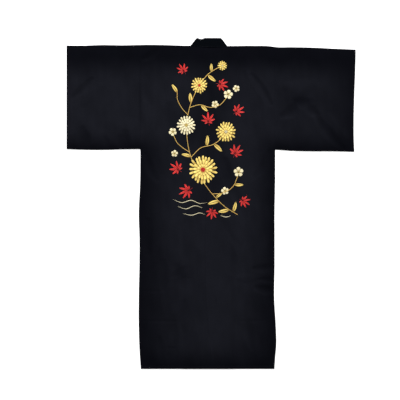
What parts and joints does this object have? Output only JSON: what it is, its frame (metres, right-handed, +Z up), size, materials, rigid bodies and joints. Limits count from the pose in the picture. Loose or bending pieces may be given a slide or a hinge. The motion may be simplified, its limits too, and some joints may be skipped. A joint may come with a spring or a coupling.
{
  "type": "kimono robe",
  "caption": "Ankle-length kimono robe laid flat with its back upwards, straight sleeves spread and fronts wrapped beneath, in black cloth.",
  "frame": {"origin": "on the surface that the robe lies on, under the middle of its outline", "axes": "+Y up the robe from the hem to the collar, +X across it to the wearer's right, +Z up from the surface, so the back of the robe faces +Z"},
  "size_m": [1.284, 1.47, 0.0077],
  "materials": {
    "robe_cloth": "matt black plain weave with a faint navy cast and a soft sheen",
    "collar_cloth": "the same black cloth, doubled and pressed firm",
    "embroidery_gold": "gold embroidery thread, glossy satin stitch and couched cord",
    "embroidery_cream": "cream embroidery thread, satin stitch",
    "embroidery_red": "bright red embroidery thread, satin stitch"
  },
  "bodies": {
    "root": {"body_panel_left": "robe_cloth", "body_panel_right": "robe_cloth", "overlap_panel_left": "robe_cloth", "overlap_panel_right": "robe_cloth", "sleeve_left": "robe_cloth", "sleeve_right": "robe_cloth", "collar": "collar_cloth"}
  },
  "joints": []
}
